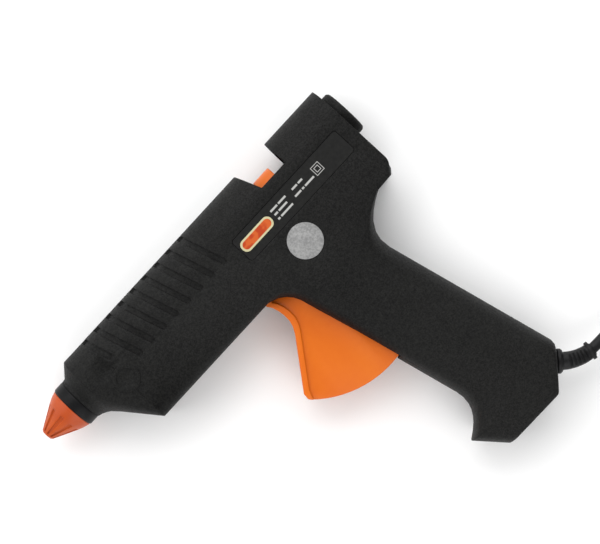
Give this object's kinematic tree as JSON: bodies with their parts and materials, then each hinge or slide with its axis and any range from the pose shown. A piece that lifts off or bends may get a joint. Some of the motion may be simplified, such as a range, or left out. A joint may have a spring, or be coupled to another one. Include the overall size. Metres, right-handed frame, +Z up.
{
  "type": "hot-melt glue gun",
  "caption": "Corded hot-melt glue gun with grooved barrel, orange nozzle cover and trigger, stick window, sliding feed and a two-pin mains lead.",
  "frame": {"origin": "centre of the gun's box, without its cord, on the plane that its right side lies on", "axes": "+X from the nozzle towards the stick inlet, +Y away from the handle, +Z up through the thickness, from the right casing to the left casing"},
  "size_m": [0.2945, 0.2367, 0.0331],
  "materials": {
    "casing": "fine spark-eroded grain, satin black",
    "collar": "smooth satin black",
    "orange": "smooth satin orange",
    "steel": "zinc plated",
    "brass": "turned",
    "cast_alloy": "as cast",
    "ceramic": "unglazed ceramic",
    "silicone": "matt silicone",
    "label": null,
    "badge": "cream film with an orange field",
    "disc": "grey, finely mottled",
    "live_sleeve": "brown insulation",
    "neutral_sleeve": "blue insulation",
    "cord": "matt black PVC",
    "tie": "woven strap",
    "plug": "satin black moulding"
  },
  "bodies": {
    "housing": {"left_casing": "casing", "right_casing": "casing", "casing_screws": "steel", "nose_collar": "collar", "nozzle_cover": "orange", "nozzle": "brass", "valve_spring": "steel", "melt_chamber": "cast_alloy", "heater_element": "ceramic", "heater_clip": "steel", "thermal_fuse": "ceramic", "feed_sleeve": "silicone", "sleeve_clamp": "steel", "trigger_pin": "steel", "return_spring": "steel", "inlet_ring": "collar", "rating_label": "label", "badge": "badge", "side_disc": "disc", "terminal_block": "ceramic", "terminal_screws": "brass", "cord_clamp": "collar", "clamp_screws": "steel", "live_wire": "live_sleeve", "neutral_wire": "neutral_sleeve", "cord_tail": "cord", "cord_guard": "cord", "cord_lead": "cord", "cord_coil": "cord", "coil_tie": "tie", "cord_end": "cord", "plug_body": "plug", "plug_pins": "brass"},
    "trigger": {"trigger": "orange"},
    "carriage": {"feed_carriage": "orange", "grip_pin": "steel"},
    "lever": {"grip_lever": "steel", "drive_pin": "steel"},
    "ball": {"valve_ball": "steel"}
  },
  "joints": [
    {"name": "trigger_pivot", "type": "hinge", "parent": "housing", "child": "trigger", "pos_m": [0.0287, 0.02655, 0.0163], "axis": [0, 0, 1], "range_deg": [0, 32], "stiffness_Nm_per_rad": 0.35, "springref_deg": -17.19},
    {"name": "feed_slide", "type": "slide", "parent": "housing", "child": "carriage", "axis": [-1, 0, 0], "range_m": [0, 0.01019], "deforming": ["return_spring"]},
    {"name": "grip_pivot", "type": "hinge", "parent": "carriage", "child": "lever", "pos_m": [0.03449, 0.05674, 0.0163], "axis": [0, 0, -1], "range_deg": [0, 8.01]},
    {"name": "valve_lift", "type": "slide", "parent": "housing", "child": "ball", "axis": [-1, 0, 0], "range_m": [0, 0.001], "stiffness_N_per_m": 60, "springref_m": -0.001, "deforming": ["valve_spring"]}
  ],
  "couplings": [
    {"joint": "feed_slide", "follows": "trigger_pivot", "m_per_rad": 0.018236},
    {"joint": "grip_pivot", "follows": "trigger_pivot", "ratio": 0.25}
  ]
}
